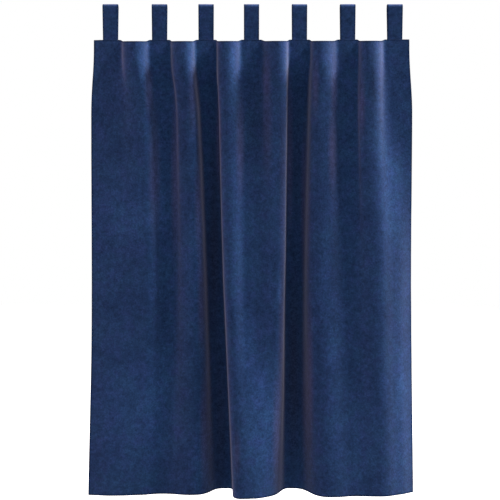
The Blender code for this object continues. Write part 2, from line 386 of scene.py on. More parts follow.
class TabSizes(bpy.types.PropertyGroup):
    """Sizes of what shows of a strap's making"""
    crown: bpy.props.FloatProperty(
        name="Crown", description="How far a strap is fuller in its middle than at its edges",
        default=0.25 * MM, min=0.0, max=0.6 * MM, unit="LENGTH", subtype="DISTANCE")
    seam_groove: bpy.props.FloatProperty(
        name="Seam groove", description="Depth of the seam down the inside of a strap",
        default=0.4 * MM, min=0.0, max=0.7 * MM, unit="LENGTH", subtype="DISTANCE")


class StitchSizes(bpy.types.PropertyGroup):
    """Sizes of the stitches and their thread"""
    length: bpy.props.FloatProperty(
        name="Stitch", description="Length of thread that shows in one stitch",
        default=2.7 * MM, min=1 * MM, max=6 * MM, unit="LENGTH", subtype="DISTANCE")
    pitch: bpy.props.FloatProperty(
        name="Pitch", description="Distance from one stitch to the next",
        default=3.3 * MM, min=1.5 * MM, max=8 * MM, unit="LENGTH", subtype="DISTANCE")
    thread: bpy.props.FloatProperty(
        name="Thread", description="Thickness of the sewing thread",
        default=0.45 * MM, min=0.2 * MM, max=1 * MM, unit="LENGTH", subtype="DISTANCE")


class VelvetColours(bpy.types.PropertyGroup):
    """Colours of the pile, the woven back and the thread"""
    pile: bpy.props.FloatVectorProperty(
        name="Pile", description="Colour of the pile seen straight on",
        default=linear("#2a4772"), min=0.0, max=1.0, subtype="COLOR")
    pile_deep: bpy.props.FloatVectorProperty(
        name="Pressed pile", description="Colour where the pile leans away",
        default=linear("#263f6a"), min=0.0, max=1.0, subtype="COLOR")
    pile_violet: bpy.props.FloatVectorProperty(
        name="Brushed pile", description="Colour where the pile has been brushed up",
        default=linear("#2e4476"), min=0.0, max=1.0, subtype="COLOR")
    # painted shade: the colour mixed in where the deep folds lie in shade
    pile_painted_shade: bpy.props.FloatVectorProperty(
        name="Crushed pile", description="Colour where the pile lies crushed in shut folds",
        default=linear("#2b395b"), min=0.0, max=1.0, subtype="COLOR")
    # painted sheen: the colour of the streaks along the folds' turns
    pile_painted_sheen: bpy.props.FloatVectorProperty(
        name="Opened pile", description="Colour where the pile opens along a fold's turn",
        default=linear("#4e4d77"), min=0.0, max=1.0, subtype="COLOR")
    bloom: bpy.props.FloatVectorProperty(
        name="Bloom", description="Colour of the sheen on the pile's tips",
        default=linear("#ece4ff"), min=0.0, max=1.0, subtype="COLOR")
    ground: bpy.props.FloatVectorProperty(
        name="Ground", description="Colour of the woven back of the velvet",
        default=linear("#2b4066"), min=0.0, max=1.0, subtype="COLOR")
    thread: bpy.props.FloatVectorProperty(
        name="Thread", description="Colour of the sewing thread",
        default=linear("#3b578f"), min=0.0, max=1.0, subtype="COLOR")


class StudioLook(bpy.types.PropertyGroup):
    """The floor, the lights and the camera"""
    floor_drop: bpy.props.FloatProperty(
        name="Floor below hem", description="How far the floor lies below the hem",
        default=0.30, min=0.02, max=1.5, unit="LENGTH", subtype="DISTANCE")
    paper: bpy.props.FloatVectorProperty(
        name="Floor", description="Colour of the floor",
        default=linear("#fafafa"), min=0.0, max=1.0, subtype="COLOR")
    surround: bpy.props.FloatVectorProperty(
        name="Soft light", description="Colour of the soft light from all round",
        default=linear("#ffffff"), min=0.0, max=1.0, subtype="COLOR")
    surround_strength: bpy.props.FloatProperty(
        name="Soft light strength", description="Strength of the soft light from all round",
        default=0.43, min=0.0, max=4.0)
    key_power: bpy.props.FloatProperty(
        name="Side light", description="Power of the large light at the right",
        default=670.0, min=0.0, max=5000.0, unit="POWER")
    camera_distance: bpy.props.FloatProperty(
        name="Camera distance", description="How far the camera stands from the curtain",
        default=2.8, min=0.5, max=20.0, unit="LENGTH", subtype="DISTANCE")


# ---------------------------------------------------------------- materials

def add_node(tree, kind, inputs=(), **settings):
    """Adds a node with its settings. inputs are (socket, value or socket to link)."""
    node = tree.nodes.new("ShaderNode" + kind)
    for name, value in settings.items():
        setattr(node, name, value)
    for socket, value in inputs:
        if isinstance(value, bpy.types.NodeSocket):
            tree.links.new(value, node.inputs[socket])
        else:
            node.inputs[socket].default_value = value
    return node


def new_material(name):
    """An empty material, its tree, and its Principled shader."""
    material = bpy.data.materials.new(name)
    material.use_nodes = True
    tree = material.node_tree
    return material, tree, tree.nodes["Principled BSDF"]


def per_size(size):
    """A noise texture's scale for patches of this size in millimetres."""
    return 1.0 / (size * MM)


CLOUD = 110.0               # patches where the pile has been stroked one way
PATCH = 42.0                # smaller marks of handling
MOTTLE = 15.0               # tufts of pile that lean together
GRAIN = 6.0                 # clumps of pile; real ones are 1 mm, drawn as coarse as they show
EDGE_DARK = 7.0             # the velvet's colour is darker within this distance of an edge
FACE_BLOOM = 0.60           # sheen of the pile's tips on a face
EDGE_BLOOM = 0.20           # and along an edge, kept low so that the edge looks darker
PILE_RELIEF = 0.9           # height of the tufts that the light picks out

# Patches where the pile lies another way, together with painted highlights and painted shade,
# where the velvet's colour is made lighter or darker than the rest. Middle of the place
# (along the rod, down from the top edge), its half width and half height, and the share by
# which it is lighter.
PILE_AND_PAINTED_LIGHT_PATCHES = (
    (0, 200, 640, 260, -0.06),
    (-530, 40, 45, 70, -0.15),
    (-440, 580, 130, 190, 0.22),
    (-430, 660, 220, 120, 0.10),
    (-430, 1340, 250, 320, 0.30),
    (-362, 500, 22, 240, -0.16),
    (-365, 182, 17, 90, 0.50),
    (-360, 890, 70, 90, 0.16),
    (-344, 1260, 50, 330, 0.24),
    (-328, 600, 30, 300, 0.18),
    (-242, 1290, 38, 130, -0.18),
    (-228, 350, 42, 270, -0.17),
    (-216, 370, 26, 170, 0.26),
    (-205, 800, 46, 330, 0.26),
    (-208, 130, 20, 80, 0.20),
    (-190, 1500, 48, 190, 0.20),
    (-186, 700, 22, 240, 0.42),
    (-68, 85, 16, 60, 0.30),
    (-50, 320, 32, 260, -0.18),
    (-8, 1090, 34, 190, 0.50),
    (8, 330, 88, 290, -0.24),
    (24, 1222, 48, 80, 0.46),
    (40, 1360, 82, 330, 0.66),
    (98, 895, 14, 60, 0.45),
    (106, 1080, 18, 360, -0.34),
    (110, 850, 18, 190, -0.22),
    (112, 450, 26, 500, -0.32),
    (248, 880, 40, 160, 0.20),
    (280, 1120, 30, 70, 0.22),
    (284, 440, 48, 400, -0.18),
    (286, 1400, 48, 260, 0.22),
    (296, 770, 36, 240, -0.24),
    (300, 85, 20, 60, -0.28),
    (334, 50, 26, 60, -0.20),
    (296, 180, 18, 95, 0.50),
    (400, 1440, 110, 300, 0.16),
    (426, 160, 24, 190, -0.30),
    (455, 230, 60, 220, -0.08),
    (462, 1220, 40, 60, 0.22),
    (477, 130, 22, 90, -0.26),
    (488, 980, 34, 210, -0.16),
    (496, 560, 54, 260, 0.27),
    (532, 1225, 30, 90, 0.30),
    (540, 70, 50, 90, -0.14),
    (540, 1380, 72, 640, 0.34),
)

# Painted shade in the deep folds: there the pile's colour is mixed towards a darker, more
# violet one, with the share that is mixed in.
PAINTED_FOLD_SHADE = (
    (-136, 760, 38, 640, 1.0),
    (-112, 1380, 38, 480, 0.8),
    (162, 440, 36, 460, 0.4),
    (153, 1180, 44, 600, 1.0),
)

# Painted sheen: dusty violet streaks along the folds' turns, with their share.
PAINTED_SHEEN_STREAKS = (
    (-364, 190, 20, 130, 0.45),
    (-345, 480, 28, 330, 0.4),
    (-274, 500, 22, 380, 0.5),
    (-205, 215, 24, 190, 0.4),
    (-186, 590, 22, 280, 0.5),
    (-176, 930, 22, 280, 0.5),
    (-166, 1390, 24, 320, 0.5),
    (-118, 350, 16, 260, 0.6),
    (-50, 1460, 18, 120, 0.4),
    (-39, 380, 22, 260, 0.5),
    (54, 150, 22, 120, 0.3),
    (57, 330, 24, 250, 0.3),
    (92, 1400, 26, 320, 0.5),
    (110, 560, 18, 500, 0.3),
    (106, 1080, 18, 360, 0.4),
    (138, 420, 18, 420, 0.5),
    (192, 600, 20, 420, 0.6),
    (200, 1250, 24, 460, 0.7),
    (226, 180, 18, 140, 0.4),
    (286, 400, 24, 210, 0.6),
    (293, 180, 20, 120, 0.5),
    (389, 240, 18, 170, 0.4),
)


def places_marked(tree, place, spots, base):
    """A value over the cloth: base, and at each spot its share more, fading to its rim."""
    total = base
    for across, below, half_width, half_height, share in spots:
        middle = (across * MM, 0.0, (EDGE_Z - below) * MM)
        away = add_node(tree, "VectorMath", ((0, place), (1, middle)), operation="SUBTRACT")
        part_way = add_node(tree, "VectorMath", (
            (0, away.outputs["Vector"]), (1, (per_size(half_width), 0.0, per_size(half_height)))),
            operation="MULTIPLY")
        reach = add_node(tree, "VectorMath", ((0, part_way.outputs["Vector"]),),
                         operation="LENGTH")
        part = add_node(tree, "MapRange", (
            ("Value", reach.outputs["Value"]), ("To Min", share), ("To Max", 0.0)),
            interpolation_type="SMOOTHSTEP")
        total = add_node(tree, "Math", ((0, total), (1, part.outputs["Result"])),
                         operation="ADD").outputs["Value"]
    return total


def cut_pile_velvet(name, colours, bloom=FACE_BLOOM):
    """Cotton velvet with a dense cut pile, 1.2 mm high.

    Straight on the eye looks down into the pile and sees a deep, matt navy. At a glancing
    angle it sees the tips, which bloom in a dusty violet. Handling leaves cloudy patches
    where the pile leans another way. The colour also holds painted highlights and painted
    shade in patches, painted shade in the deep folds and painted sheen streaks along the
    folds' turns, and it is darker along the cloth's edges.
    """
    material, tree, shader = new_material(name)
    place = add_node(tree, "TexCoord").outputs["Object"]
    clouds = add_node(tree, "TexNoise", (
        ("Vector", place), ("Scale", per_size(CLOUD)), ("Detail", 3.0), ("Roughness", 0.55)))
    patches = add_node(tree, "TexNoise", (
        ("Vector", place), ("Scale", per_size(PATCH)), ("Detail", 4.0), ("Roughness", 0.6),
        ("Distortion", 0.4)))
    mottle = add_node(tree, "TexNoise", (
        ("Vector", place), ("Scale", per_size(MOTTLE)), ("Detail", 2.0), ("Roughness", 0.5)))
    grain = add_node(tree, "TexNoise", (
        ("Vector", place), ("Scale", per_size(GRAIN)), ("Detail", 3.0), ("Roughness", 0.75)))
    lean = add_node(tree, "MapRange", (
        ("Value", clouds.outputs["Fac"]), ("From Min", 0.38), ("From Max", 0.62)))
    tone = add_node(tree, "Mix", (
        ("Factor", lean.outputs["Result"]), ("A", (*colours.pile_deep, 1.0)),
        ("B", (*colours.pile, 1.0))), data_type="RGBA")
    brushed = add_node(tree, "MapRange", (
        ("Value", patches.outputs["Fac"]), ("From Min", 0.45), ("From Max", 0.70)))
    violet = add_node(tree, "Mix", (
        ("Factor", brushed.outputs["Result"]), ("A", tone.outputs["Result"]),
        ("B", (*colours.pile_violet, 1.0))), data_type="RGBA")
    # painted shade: the colour is mixed towards a darker, more violet one in the deep folds
    painted_fold_shade = add_node(tree, "Mix", (
        ("Factor", places_marked(tree, place, PAINTED_FOLD_SHADE, 0.0)), ("A", violet.outputs["Result"]),
        ("B", (*colours.pile_painted_shade, 1.0))), data_type="RGBA")
    # painted sheen: dusty violet streaks along the folds' turns
    painted_sheen = add_node(tree, "Mix", (
        ("Factor", places_marked(tree, place, PAINTED_SHEEN_STREAKS, 0.0)), ("A", painted_fold_shade.outputs["Result"]),
        ("B", (*colours.pile_painted_sheen, 1.0))), data_type="RGBA")
    speck = add_node(tree, "MapRange", (
        ("Value", grain.outputs["Fac"]), ("From Min", 0.25), ("From Max", 0.75),
        ("To Min", 0.55), ("To Max", 1.45)))
    tufts = add_node(tree, "MapRange", (
        ("Value", mottle.outputs["Fac"]), ("From Min", 0.25), ("From Max", 0.75),
        ("To Min", 0.78), ("To Max", 1.22)))
    uneven = add_node(tree, "Math", (
        (0, speck.outputs["Result"]), (1, tufts.outputs["Result"])), operation="MULTIPLY")
    # painted highlights and painted shade, with patches where the pile lies another way, lighten
    # or darken the colour here
    pile_and_painted_light = add_node(tree, "Math", (
        (0, uneven.outputs["Value"]), (1, places_marked(tree, place, PILE_AND_PAINTED_LIGHT_PATCHES, 1.0))),
        operation="MULTIPLY")
    cloth = add_node(tree, "Attribute", attribute_name="cloth").outputs["Vector"]
    edge = add_node(tree, "SeparateXYZ", (("Vector", cloth),)).outputs["Z"]
    # the colour is darker towards the cloth's edges
    edge_darkening = add_node(tree, "MapRange", (
        ("Value", edge), ("From Max", EDGE_DARK * MM), ("To Min", 0.50)))
    shade = add_node(tree, "Math", (
        (0, pile_and_painted_light.outputs["Value"]), (1, edge_darkening.outputs["Result"])), operation="MULTIPLY")
    colour = add_node(tree, "Mix", (
        ("Factor", 1.0), ("A", painted_sheen.outputs["Result"]), ("B", shade.outputs["Value"])),
        data_type="RGBA", blend_type="MULTIPLY")
    rough = add_node(tree, "MapRange", (
        ("Value", clouds.outputs["Fac"]), ("From Min", 0.3), ("From Max", 0.7),
        ("To Min", 0.78), ("To Max", 0.92)))
    height = add_node(tree, "Math", (
        (0, grain.outputs["Fac"]), (1, patches.outputs["Fac"])), operation="ADD")
    bump = add_node(tree, "Bump", (
        ("Strength", 0.55), ("Distance", PILE_RELIEF * MM), ("Height", height.outputs["Value"])))
    tree.links.new(colour.outputs["Result"], shader.inputs["Base Color"])
    tree.links.new(rough.outputs["Result"], shader.inputs["Roughness"])
    tree.links.new(bump.outputs["Normal"], shader.inputs["Normal"])
    shader.inputs["Specular IOR Level"].default_value = 0.0
    shader.inputs["Sheen Weight"].default_value = bloom
    shader.inputs["Sheen Roughness"].default_value = 0.41
    shader.inputs["Sheen Tint"].default_value = (*colours.bloom, 1.0)
    return material


def darker_edge_pile(name, colours):
    """The same velvet for the cloth's edges, darker and with little sheen."""
    return cut_pile_velvet(name, colours, bloom=EDGE_BLOOM)


WEAVE = 3.0                 # from rib to rib; real ones are 0.6 mm, drawn coarse enough to show
WAVE_TURN = math.pi / 10    # how long one wave of a wave texture is at scale 1
SLUB = (70.0, 7.0)          # thick and thin places in the weft: length and height
RIB_RELIEF = 0.4            # height of the ribs
TWIST = 2.0                 # the thread's uneven twist, drawn as coarse as it shows


def woven_ground(name, colours):
    """The back of the velvet: a plain woven cotton ground, matt, with fine level ribs."""
    material, tree, shader = new_material(name)
    cloth = add_node(tree, "Attribute", attribute_name="cloth").outputs["Vector"]
    place = add_node(tree, "TexCoord").outputs["Object"]
    weft = add_node(tree, "TexWave", (
        ("Vector", cloth), ("Scale", per_size(WEAVE) * WAVE_TURN), ("Distortion", 0.6),
        ("Detail", 1.0)), bands_direction="Y")
    warp = add_node(tree, "TexWave", (
        ("Vector", cloth), ("Scale", per_size(WEAVE) * WAVE_TURN), ("Distortion", 0.6),
        ("Detail", 1.0)), bands_direction="X")
    weave = add_node(tree, "Math", (
        (0, weft.outputs["Fac"]), (1, warp.outputs["Fac"])), operation="MULTIPLY")
    clouds = add_node(tree, "TexNoise", (
        ("Vector", place), ("Scale", per_size(CLOUD)), ("Detail", 4.0), ("Roughness", 0.6)))
    shade = add_node(tree, "MapRange", (
        ("Value", clouds.outputs["Fac"]), ("From Min", 0.3), ("From Max", 0.7),
        ("To Min", 0.86), ("To Max", 1.12)))
    ribs = add_node(tree, "MapRange", (
        ("Value", weave.outputs["Value"]), ("To Min", 0.86), ("To Max", 1.14)))
    both = add_node(tree, "Math", (
        (0, shade.outputs["Result"]), (1, ribs.outputs["Result"])), operation="MULTIPLY")
    stretched = add_node(tree, "VectorMath", (
        (0, cloth), (1, (per_size(SLUB[0]), per_size(SLUB[1]), 0.0))), operation="MULTIPLY")
    slubs = add_node(tree, "TexNoise", (
        ("Vector", stretched.outputs["Vector"]), ("Scale", 1.0), ("Detail", 3.0),
        ("Roughness", 0.6)))
    thread = add_node(tree, "MapRange", (
        ("Value", slubs.outputs["Fac"]), ("From Min", 0.25), ("From Max", 0.75),
        ("To Min", 0.80), ("To Max", 1.20)))
    uneven = add_node(tree, "Math", (
        (0, both.outputs["Value"]), (1, thread.outputs["Result"])), operation="MULTIPLY")
    colour = add_node(tree, "Mix", (
        ("Factor", 1.0), ("A", (*colours.ground, 1.0)), ("B", uneven.outputs["Value"])),
        data_type="RGBA", blend_type="MULTIPLY")
    bump = add_node(tree, "Bump", (
        ("Strength", 0.35), ("Distance", RIB_RELIEF * MM), ("Height", weave.outputs["Value"])))
    tree.links.new(colour.outputs["Result"], shader.inputs["Base Color"])
    tree.links.new(bump.outputs["Normal"], shader.inputs["Normal"])
    shader.inputs["Roughness"].default_value = 0.9
    shader.inputs["Specular IOR Level"].default_value = 0.2
    shader.inputs["Sheen Weight"].default_value = 0.15
    shader.inputs["Sheen Roughness"].default_value = 0.5
    shader.inputs["Sheen Tint"].default_value = (*colours.bloom, 1.0)
    return material


def polyester_thread(name, colours):
    """Spun polyester sewing thread: a tone on tone navy with a faint gloss."""
    material, tree, shader = new_material(name)
    place = add_node(tree, "TexCoord").outputs["Object"]
    twist = add_node(tree, "TexNoise", (
        ("Vector", place), ("Scale", per_size(TWIST)), ("Detail", 2.0)))
    shade = add_node(tree, "MapRange", (
        ("Value", twist.outputs["Fac"]), ("To Min", 0.75), ("To Max", 1.25)))
    colour = add_node(tree, "Mix", (
        ("Factor", 1.0), ("A", (*colours.thread, 1.0)), ("B", shade.outputs["Result"])),
        data_type="RGBA", blend_type="MULTIPLY")
    tree.links.new(colour.outputs["Result"], shader.inputs["Base Color"])
    shader.inputs["Roughness"].default_value = 0.5
    return material


def finish_named(name, make):
    """The material of that name, made the first time that it is asked for."""
    return bpy.data.materials.get(name) or make(name, bpy.context.scene.velvet_colours)


# ---------------------------------------------------------------- stitches

def stitch_run(line, lift, sizes):
    """Middles and directions of the stitches along a line of points and their lifts."""
    along = lengths_along(line)
    pitch = sizes.pitch / MM
    starts = np.arange(pitch, along[-1] - pitch, pitch)
    ahead = starts + sizes.length / MM

    def at(where, values):
        return np.column_stack([np.interp(where, along, values[:, k]) for k in range(3)])

    tails, heads = at(starts, line), at(ahead, line)
    return (tails + heads) / 2, unit(heads - tails), unit(at(starts, lift))


STITCH_SIDES, STITCH_RINGS = 6, 4   # faces round a stitch's spindle, and along it
THREAD_LIFT = 0.3           # how far its middle stands off the cloth, in thread thicknesses


def in_fixed_order(points, loops):
    """The same small shape, with its points and faces in an order that depends on it alone.

    Blender may number a new sphere's points another way in each run.
    """
    points = points.round(6) + 0.0
    order = sorted(range(len(points)), key=lambda k: tuple(points[k]))
    renamed = [[order.index(k) for k in loop] for loop in loops]
    turned = [tuple(np.roll(loop, -int(np.argmin(loop)))) for loop in renamed]
    return points[order], sorted(turned)


def sew(name, runs, sizes):
    """Every stitch of a seam as one piece. runs are what stitch_run gives."""
    select_nothing()
    thick = sizes.thread / 2
    bpy.ops.mesh.primitive_uv_sphere_add(
        segments=STITCH_SIDES, ring_count=STITCH_RINGS, radius=1.0,
        scale=(thick, thick, sizes.length / 2))
    bpy.ops.object.transform_apply(location=False, rotation=False, scale=True)
    model = bpy.context.active_object
    shape, loops = in_fixed_order(np.array([v.co for v in model.data.vertices]) / MM,
                                  [tuple(face.vertices) for face in model.data.polygons])
    bpy.data.objects.remove(model, do_unlink=True)
    middles, ways, lifts = (np.vstack([run[k] for run in runs]) for k in range(3))
    sides = unit(np.cross(lifts, ways))
    lifts = np.cross(ways, sides)
    points = (middles[:, None] + shape[None, :, 0:1] * sides[:, None]
              + shape[None, :, 1:2] * lifts[:, None] + shape[None, :, 2:3] * ways[:, None])
    faces = [tuple(int(v) + k * len(shape) for v in loop)
             for k in range(len(middles)) for loop in loops]
    thread = finish_named("polyester_thread_navy", polyester_thread)
    return link_mesh(name, points.reshape(-1, 3), faces, [thread])


# ---------------------------------------------------------------- panel

FRONT = -CLOTH / 2          # the face of the pile, before the middle of the cloth
HEM_BACK = 1.2              # the back of a hem's three pressed layers, behind the middle
ROLL_BACK = 0.95            # the back of the seam rolled over at the top edge
ROLL_DEPTH = 14.0           # how far down that seam's allowance reaches
ROLL_FADE = (4.0, 2.0)      # it thins out from this far above its end to this far below
HEM_SLOPE = 0.9             # run over which a hem's inner edge drops to the cloth
CROSSING = 0.5              # extra thickness where two hems cross at a corner
STITCH_PULL = 0.45          # how deep a hem's stitching sinks into it
STITCH_SPREAD = 1.0         # and how far to each side
EDGE_LINES = (2.2, 4.5, EDGE_DARK)      # rows of points beside an edge of the cloth
STITCH_LINES = (-1.6, -0.7, 0.0, 0.7, 1.6)      # and across a line of stitching
HEM_INSIDE, HEM_BEYOND = 0.4, 1.2       # and inside a hem's inner edge, and past its drop
CLEAR = 0.3                 # even rows keep this share of a step away from those
EASE_TOP, EASE_FULL = 70.0, 190.0   # the cloth starts to waver below the heading strip
# How the cloth wavers: share of the whole, reach across and down, and the noise's place
WAVERS = ((0.7, (120.0, 300.0), 1.7), (0.3, (48.0, 90.0), 5.3))
NOISE_REACH = 2.0           # the noise seldom passes a half, so this brings it to 1


def spread(low, high, step, extra):
    """Places from low to high about a step apart, with extra ones where an edge falls."""
    count = int(round((high - low) / step))
    even = np.linspace(low, high, count + 1)
    close = np.array([place for place in extra if low < place < high])
    kept = [place for place in even
            if place in (low, high) or np.min(np.abs(close - place)) > CLEAR * step]
    return np.unique(np.concatenate((kept, close)))


def hem_lines(hem, stitch):
    """Distances from a cloth's edge at which its hem needs a row of points."""
    inner = hem - stitch
    return (*EDGE_LINES, *(inner + away for away in STITCH_LINES),
            hem - HEM_INSIDE, hem, hem + HEM_SLOPE, hem + HEM_SLOPE + HEM_BEYOND)


def hem_height(distance, hem, stitch):
    """How much of a hem's thickness there is at each distance from the cloth's edge."""
    stands = 1.0 - smooth_step(hem, hem + HEM_SLOPE, distance)
    pulled = STITCH_PULL * np.exp(-((distance - (hem - stitch)) / STITCH_SPREAD) ** 2)
    return stands - pulled


def build_panel(sizes):
    """The panel with its hems: pile on the face and the hems, woven ground behind."""
    side, foot = sizes.side_hem / MM, sizes.bottom_hem / MM
    stitch = sizes.hem_stitch / MM
    half = (HEM_BACK - FRONT) / 2
    side_lines = hem_lines(side, stitch)
    places = spread(half, CUT_WIDTH - half, sizes.thread_step / MM,
                    [*side_lines, *(CUT_WIDTH - line for line in side_lines)])
    depths = spread(half, CUT_LENGTH - half, sizes.drop_step / MM,
                    [*EDGE_LINES, ROLL_DEPTH, ROLL_DEPTH + ROLL_FADE[1],
                     *(CUT_LENGTH - line for line in hem_lines(foot, stitch))])
    grid = hang(places, depths)
    normal = directions(grid)[2]
    waver = sum(share * ruffle(places, depths, reach, seed) for share, reach, seed in WAVERS)
    free = smooth_step(EASE_TOP, EASE_FULL, depths)[:, None]
    grid = grid + normal * (waver * free * NOISE_REACH * sizes.unevenness / MM)[..., None]
    down, across = np.meshgrid(depths, places, indexing="ij")
    from_side = np.minimum(across, CUT_WIDTH - across)
    bare = FRONT + sizes.thickness / MM
    side_part = hem_height(from_side, side, stitch)
    foot_part = hem_height(CUT_LENGTH - down, foot, stitch)
    roll = 1.0 - smooth_step(ROLL_DEPTH - ROLL_FADE[0], ROLL_DEPTH + ROLL_FADE[1], down)
    back = bare + (HEM_BACK - bare) * np.maximum(side_part, foot_part)
    back = back + CROSSING * np.clip(side_part, 0, 1) * np.clip(foot_part, 0, 1)
    back = back * (1 - roll) + ROLL_BACK * roll
    points, faces, count = rounded_sheet(grid, np.full_like(back, FRONT), back)
    pile = finish_named("cotton_velvet_pile_navy", cut_pile_velvet)
    ground = finish_named("cotton_ground_weave_navy", woven_ground)
    folded = finish_named("cotton_velvet_folded_edge_navy", darker_edge_pile)
    centre_side = (from_side[:-1, :-1] + from_side[1:, 1:]) / 2
    centre_foot = CUT_LENGTH - (down[:-1, :-1] + down[1:, 1:]) / 2
    bare_back = (centre_side > side + HEM_SLOPE / 2) & (centre_foot > foot + HEM_SLOPE / 2)
    bare_back &= (down[:-1, :-1] > HEADING_TOP)
    on_edge = (np.minimum(centre_side, centre_foot) < EDGE_DARK) | (down[1:, 1:] < EDGE_DARK)
    materials = [pile, ground, folded]
    edge = materials.index(folded)
    material_of = np.full(len(faces), edge, np.int32)
    material_of[:count] = np.where(on_edge, edge, materials.index(pile)).ravel()
    bare_or_hem = np.where(bare_back, materials.index(ground), materials.index(pile))
    material_of[count:2 * count] = np.where(on_edge, edge, bare_or_hem).ravel()
    panel = link_mesh("curtain_panel", points, faces.tolist(), materials, material_of)
    mark_cloth(panel, sheet_marks(panel, places, depths))
    return panel, places, depths, grid, back


def hem_runs(places, depths, grid, back, sizes, stitches):
    """The stitching of the two side hems and the bottom hem, on the back of the cloth."""
    normal = directions(grid)[2]
    behind = grid + normal * (back + stitches.thread / MM * THREAD_LIFT)[..., None]
    line = (sizes.side_hem - sizes.hem_stitch) / MM
    foot = (sizes.bottom_hem - sizes.hem_stitch) / MM
    columns = [int(np.argmin(np.abs(places - place))) for place in (line, CUT_WIDTH - line)]
    row = int(np.argmin(np.abs(depths - (CUT_LENGTH - foot))))
    below = int(np.searchsorted(depths, HEADING_FOOT))
    runs = [stitch_run(behind[below:, c], normal[below:, c], stitches) for c in columns]
    runs.append(stitch_run(behind[row], normal[row], stitches))
    return runs


class CURTAIN_OT_panel(bpy.types.Operator):
    """Hang the velvet panel in its folds, with its hems turned and sewn"""
    bl_idname = "curtain.panel"
    bl_label = "Hang the Panel"

    def execute(self, context):
        sizes, stitches = context.scene.cloth_sizes, context.scene.stitch_sizes
        panel, places, depths, grid, back = build_panel(sizes)
        on_frame(panel, ["panel"])
        runs = hem_runs(places, depths, grid, back, sizes, stitches)
        seam = on_frame(sew("hem_stitches", runs, stitches), [])
        return {"FINISHED"}


# ---------------------------------------------------------------- heading strip

HEADING_ROWS = (0.8, 2.0, 3.4, 4.4, 5.4, 8.0, 14.0, 20.0, 26.0, 32.0, 38.0, 44.0, 50.0, 55.0,
                56.6, 58.0, 59.4, 61.0, 62.2)     # below the strip's own top edge
HEADING_EDGE = (2.0, 4.0)   # columns of points beside the strip's ends
TOP_SEAM, FOOT_SEAM = 4.4, 58.0     # its two seams, below its top edge
SEAM_PULL, SEAM_SPREAD = 0.35, 0.9  # how deep they sink into it, and how far to each side
PUFF = 0.12                 # how far the strip puckers between its stitches
PUCKERS = (14.0, 30.0)      # reach of the puckers, across and down
PUCKER_SEED = 9.1
BOX_SIDE, BOX_TOP, BOX_FOOT = 22.0, 6.0, 22.0     # the sewn box over a tab's tail
BOX_SAMPLES = 15            # points along each side of the box


def from_tab_centres(grid_row):
    """How far along the cloth each column of a row lies from the nearest tab's middle."""
    along = lengths_along(grid_row)
    middles = [np.interp(centre, grid_row[:, 0], along) for centre in TAB_CENTRES]
    return np.min([np.abs(along - middle) for middle in middles], axis=0)


def build_heading(sizes):
    """The strip behind the top edge. It stands off over each tail and is sewn down."""
    places = spread(HEADING / 2, CUT_WIDTH - HEADING / 2, sizes.thread_step / MM,
                    [*HEADING_EDGE, *(CUT_WIDTH - line for line in HEADING_EDGE)])
    depths = HEADING_TOP + np.array(HEADING_ROWS)
    grid = hang(places, depths)
    away = from_tab_centres(hang(places, np.array([0.0]))[0])
    fade = 1.0 - smooth_step(POCKET_FULL, POCKET_END, away)
    front = CLOTH / 2 + LIE_GAP + (2 * STRAP + 2 * GAP - LIE_GAP) * fade
    front = np.repeat(front[None, :], len(depths), axis=0)
    rows = np.array(HEADING_ROWS)[:, None]
    pulled = sum(SEAM_PULL * np.exp(-((rows - seam) / SEAM_SPREAD) ** 2)
                 for seam in (TOP_SEAM, FOOT_SEAM))
    puff = PUFF * ruffle(places, depths, PUCKERS, PUCKER_SEED)
    back = front + HEADING - pulled + puff
    points, faces, _ = rounded_sheet(grid, front, back)
    pile = finish_named("cotton_velvet_facing_navy", cut_pile_velvet)
    strip = link_mesh("heading_strip", points, faces.tolist(), [pile])
    mark_cloth(strip, sheet_marks(strip, places, depths))
    return strip, places, grid, back


def heading_runs(places, grid, back, stitches):
    """Two seams along the strip, and a box over each tab's tail."""
    normal = directions(grid)[2]
    behind = grid + normal * (back + stitches.thread / MM * THREAD_LIFT)[..., None]
    rows = np.array(HEADING_ROWS)
    seams = [int(np.argmin(np.abs(rows - seam))) for seam in (TOP_SEAM, FOOT_SEAM)]
    runs = [stitch_run(behind[r], normal[r], stitches) for r in seams]

    def on_strip(across, below_top):
        """A point on the strip's back and its lift, at a place along the rod."""
        levels = [np.column_stack([np.interp(across, behind[r, :, 0], layer[r, :, k])
                                   for r in range(len(rows)) for k in range(3)])
                  for layer in (behind, normal)]
        shaped = [level.reshape(-1, len(rows), 3) for level in levels]
        return [np.array([[np.interp(below, rows, part[i, :, k]) for k in range(3)]
                          for i, below in enumerate(below_top)]) for part in shaped]

    for centre in TAB_CENTRES:
        left, right = centre - BOX_SIDE, centre + BOX_SIDE
        corners = ((left, BOX_TOP), (right, BOX_TOP), (right, BOX_FOOT), (left, BOX_FOOT),
                   (left, BOX_TOP))
        for start, end in zip(corners, corners[1:]):
            share = np.linspace(0.0, 1.0, BOX_SAMPLES)
            across = start[0] + share * (end[0] - start[0])
            below = start[1] + share * (end[1] - start[1])
            line, lift = on_strip(across, below)
            runs.append(stitch_run(line, lift, stitches))
    return runs


class CURTAIN_OT_heading(bpy.types.Operator):
    """Sew the heading strip behind the panel's top edge, over the tails of the tabs"""
    bl_idname = "curtain.heading"
    bl_label = "Sew the Heading"

    def execute(self, context):
        sizes, stitches = context.scene.cloth_sizes, context.scene.stitch_sizes
        strip, places, grid, back = build_heading(sizes)
        on_frame(strip, ["heading"])
        seam = sew("heading_stitches", heading_runs(places, grid, back, stitches), stitches)
        on_frame(seam, [])
        return {"FINISHED"}


# ---------------------------------------------------------------- tabs

